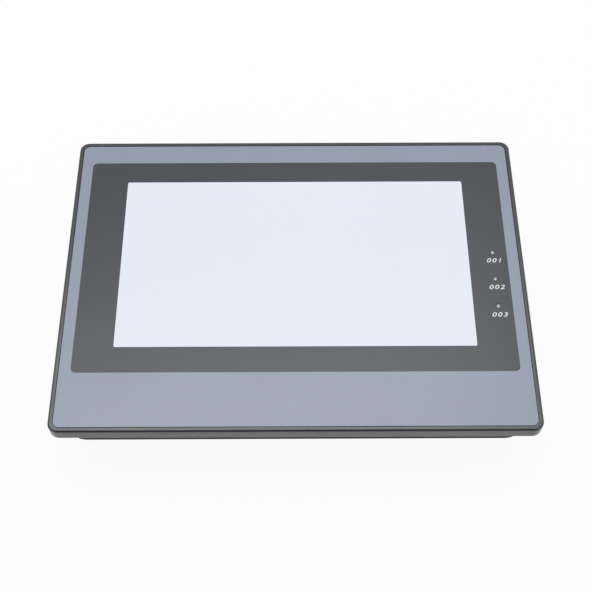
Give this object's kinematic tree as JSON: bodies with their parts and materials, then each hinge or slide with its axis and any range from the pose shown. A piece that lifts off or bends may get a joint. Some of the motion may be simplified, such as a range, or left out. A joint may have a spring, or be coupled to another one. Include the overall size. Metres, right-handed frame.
{
  "type": "hmi touch panel",
  "caption": "Flush-mount operator touch panel with a wide screen behind a printed film, side status lamps, a sealed bezel and a stepped rear housing with sockets along its lower wall.",
  "frame": {"origin": "middle of the back of the rear housing, on the surface that the panel lies on", "axes": "+X to the right of the screen, +Y to the top of the screen, +Z out of the screen"},
  "size_m": [0.201, 0.1468, 0.036],
  "materials": {
    "bezel_plastic": "fine satin moulding",
    "overlay_light": "satin printed film",
    "overlay_dark": "satin printed film",
    "screen_glass": "anti-glare",
    "clear_acrylic": "clear moulding",
    "foam_tape": "foam",
    "seal_rubber": "moulded",
    "housing_plastic": "spark-eroded texture",
    "sheet_steel": "zinc-plated sheet",
    "screw_steel": "zinc-plated",
    "light_guide": "white sheet",
    "board_green": "solder mask on glass fibre",
    "chip_black": "moulded epoxy",
    "fin_aluminium": "extruded",
    "cell_steel": "nickel-plated",
    "ribbon_film": "polyimide film",
    "terminal_green": "moulded nylon",
    "connector_metal": "nickel-plated",
    "switch_red": "moulded",
    "slider_white": "moulded"
  },
  "bodies": {
    "panel": {"front_bezel": "bezel_plastic", "overlay_border": "overlay_light", "overlay_mask": "overlay_dark", "touch_panel": "screen_glass", "touch_tape": "foam_tape", "panel_gasket": "seal_rubber", "light_pipe_1": "clear_acrylic", "light_pipe_2": "clear_acrylic", "light_pipe_3": "clear_acrylic", "lamp_board": "board_green", "lamp_ribbon": "ribbon_film", "lcd_frame": "sheet_steel", "lcd_cell": "screen_glass", "backlight": "light_guide", "chassis_plate": "sheet_steel", "chassis_screw_1": "screw_steel", "chassis_screw_2": "screw_steel", "chassis_screw_3": "screw_steel", "chassis_screw_4": "screw_steel", "main_board": "board_green", "board_screw_1": "screw_steel", "board_screw_2": "screw_steel", "board_screw_3": "screw_steel", "board_screw_4": "screw_steel", "processor": "chip_black", "heat_sink": "fin_aluminium", "memory_chip": "chip_black", "cell_holder": "chip_black", "coin_cell": "cell_steel", "buzzer": "chip_black", "capacitor": "fin_aluminium", "lcd_ribbon": "ribbon_film", "touch_ribbon": "ribbon_film", "power_socket": "terminal_green", "serial_port": "connector_metal", "jack_screw_1": "connector_metal", "jack_screw_2": "connector_metal", "ethernet_jack": "connector_metal", "usb_host_port": "connector_metal", "usb_device_port": "connector_metal", "dip_body": "switch_red", "reset_switch": "chip_black", "rear_housing": "housing_plastic", "housing_screw_1": "screw_steel", "housing_screw_2": "screw_steel", "housing_screw_3": "screw_steel", "housing_screw_4": "screw_steel"},
    "power_plug": {"power_plug": "terminal_green"},
    "terminal_screw_1": {"terminal_screw_1": "screw_steel"},
    "terminal_screw_2": {"terminal_screw_2": "screw_steel"},
    "terminal_screw_3": {"terminal_screw_3": "screw_steel"},
    "wire_clamp_1": {"wire_clamp_1": "connector_metal"},
    "wire_clamp_2": {"wire_clamp_2": "connector_metal"},
    "wire_clamp_3": {"wire_clamp_3": "connector_metal"},
    "dip_slider_1": {"dip_slider_1": "slider_white"},
    "dip_slider_2": {"dip_slider_2": "slider_white"},
    "dip_slider_3": {"dip_slider_3": "slider_white"},
    "dip_slider_4": {"dip_slider_4": "slider_white"},
    "reset_button": {"reset_button": "slider_white"}
  },
  "joints": [
    {"name": "plug_pull", "type": "slide", "parent": "panel", "child": "power_plug", "axis": [0, -1, 0], "range_m": [0, 0.012]},
    {"name": "terminal_turn_1", "type": "hinge", "parent": "power_plug", "child": "terminal_screw_1", "pos_m": [-0.07576, -0.0572, 0.0049], "axis": [0, 0, 1], "range_deg": [0, 1260]},
    {"name": "terminal_turn_2", "type": "hinge", "parent": "power_plug", "child": "terminal_screw_2", "pos_m": [-0.07068, -0.0572, 0.0049], "axis": [0, 0, 1], "range_deg": [0, 1260]},
    {"name": "terminal_turn_3", "type": "hinge", "parent": "power_plug", "child": "terminal_screw_3", "pos_m": [-0.0656, -0.0572, 0.0049], "axis": [0, 0, 1], "range_deg": [0, 1260]},
    {"name": "clamp_rise_1", "type": "slide", "parent": "power_plug", "child": "wire_clamp_1", "axis": [0, 0, -1], "range_m": [0, 0.00175]},
    {"name": "clamp_rise_2", "type": "slide", "parent": "power_plug", "child": "wire_clamp_2", "axis": [0, 0, -1], "range_m": [0, 0.00175]},
    {"name": "clamp_rise_3", "type": "slide", "parent": "power_plug", "child": "wire_clamp_3", "axis": [0, 0, -1], "range_m": [0, 0.00175]},
    {"name": "dip_slide_1", "type": "slide", "parent": "panel", "child": "dip_slider_1", "axis": [0, 0, 1], "range_m": [0, 0.0018]},
    {"name": "dip_slide_2", "type": "slide", "parent": "panel", "child": "dip_slider_2", "axis": [0, 0, 1], "range_m": [0, 0.0018]},
    {"name": "dip_slide_3", "type": "slide", "parent": "panel", "child": "dip_slider_3", "axis": [0, 0, 1], "range_m": [0, 0.0018]},
    {"name": "dip_slide_4", "type": "slide", "parent": "panel", "child": "dip_slider_4", "axis": [0, 0, 1], "range_m": [0, 0.0018]},
    {"name": "reset_press", "type": "slide", "parent": "panel", "child": "reset_button", "axis": [0, 1, 0], "range_m": [0, 0.0003], "stiffness_N_per_m": 300, "springref_m": -0.003}
  ],
  "couplings": [
    {"joint": "terminal_turn_1", "follows": "clamp_rise_1", "rad_per_m": 12566},
    {"joint": "terminal_turn_2", "follows": "clamp_rise_2", "rad_per_m": 12566},
    {"joint": "terminal_turn_3", "follows": "clamp_rise_3", "rad_per_m": 12566}
  ]
}
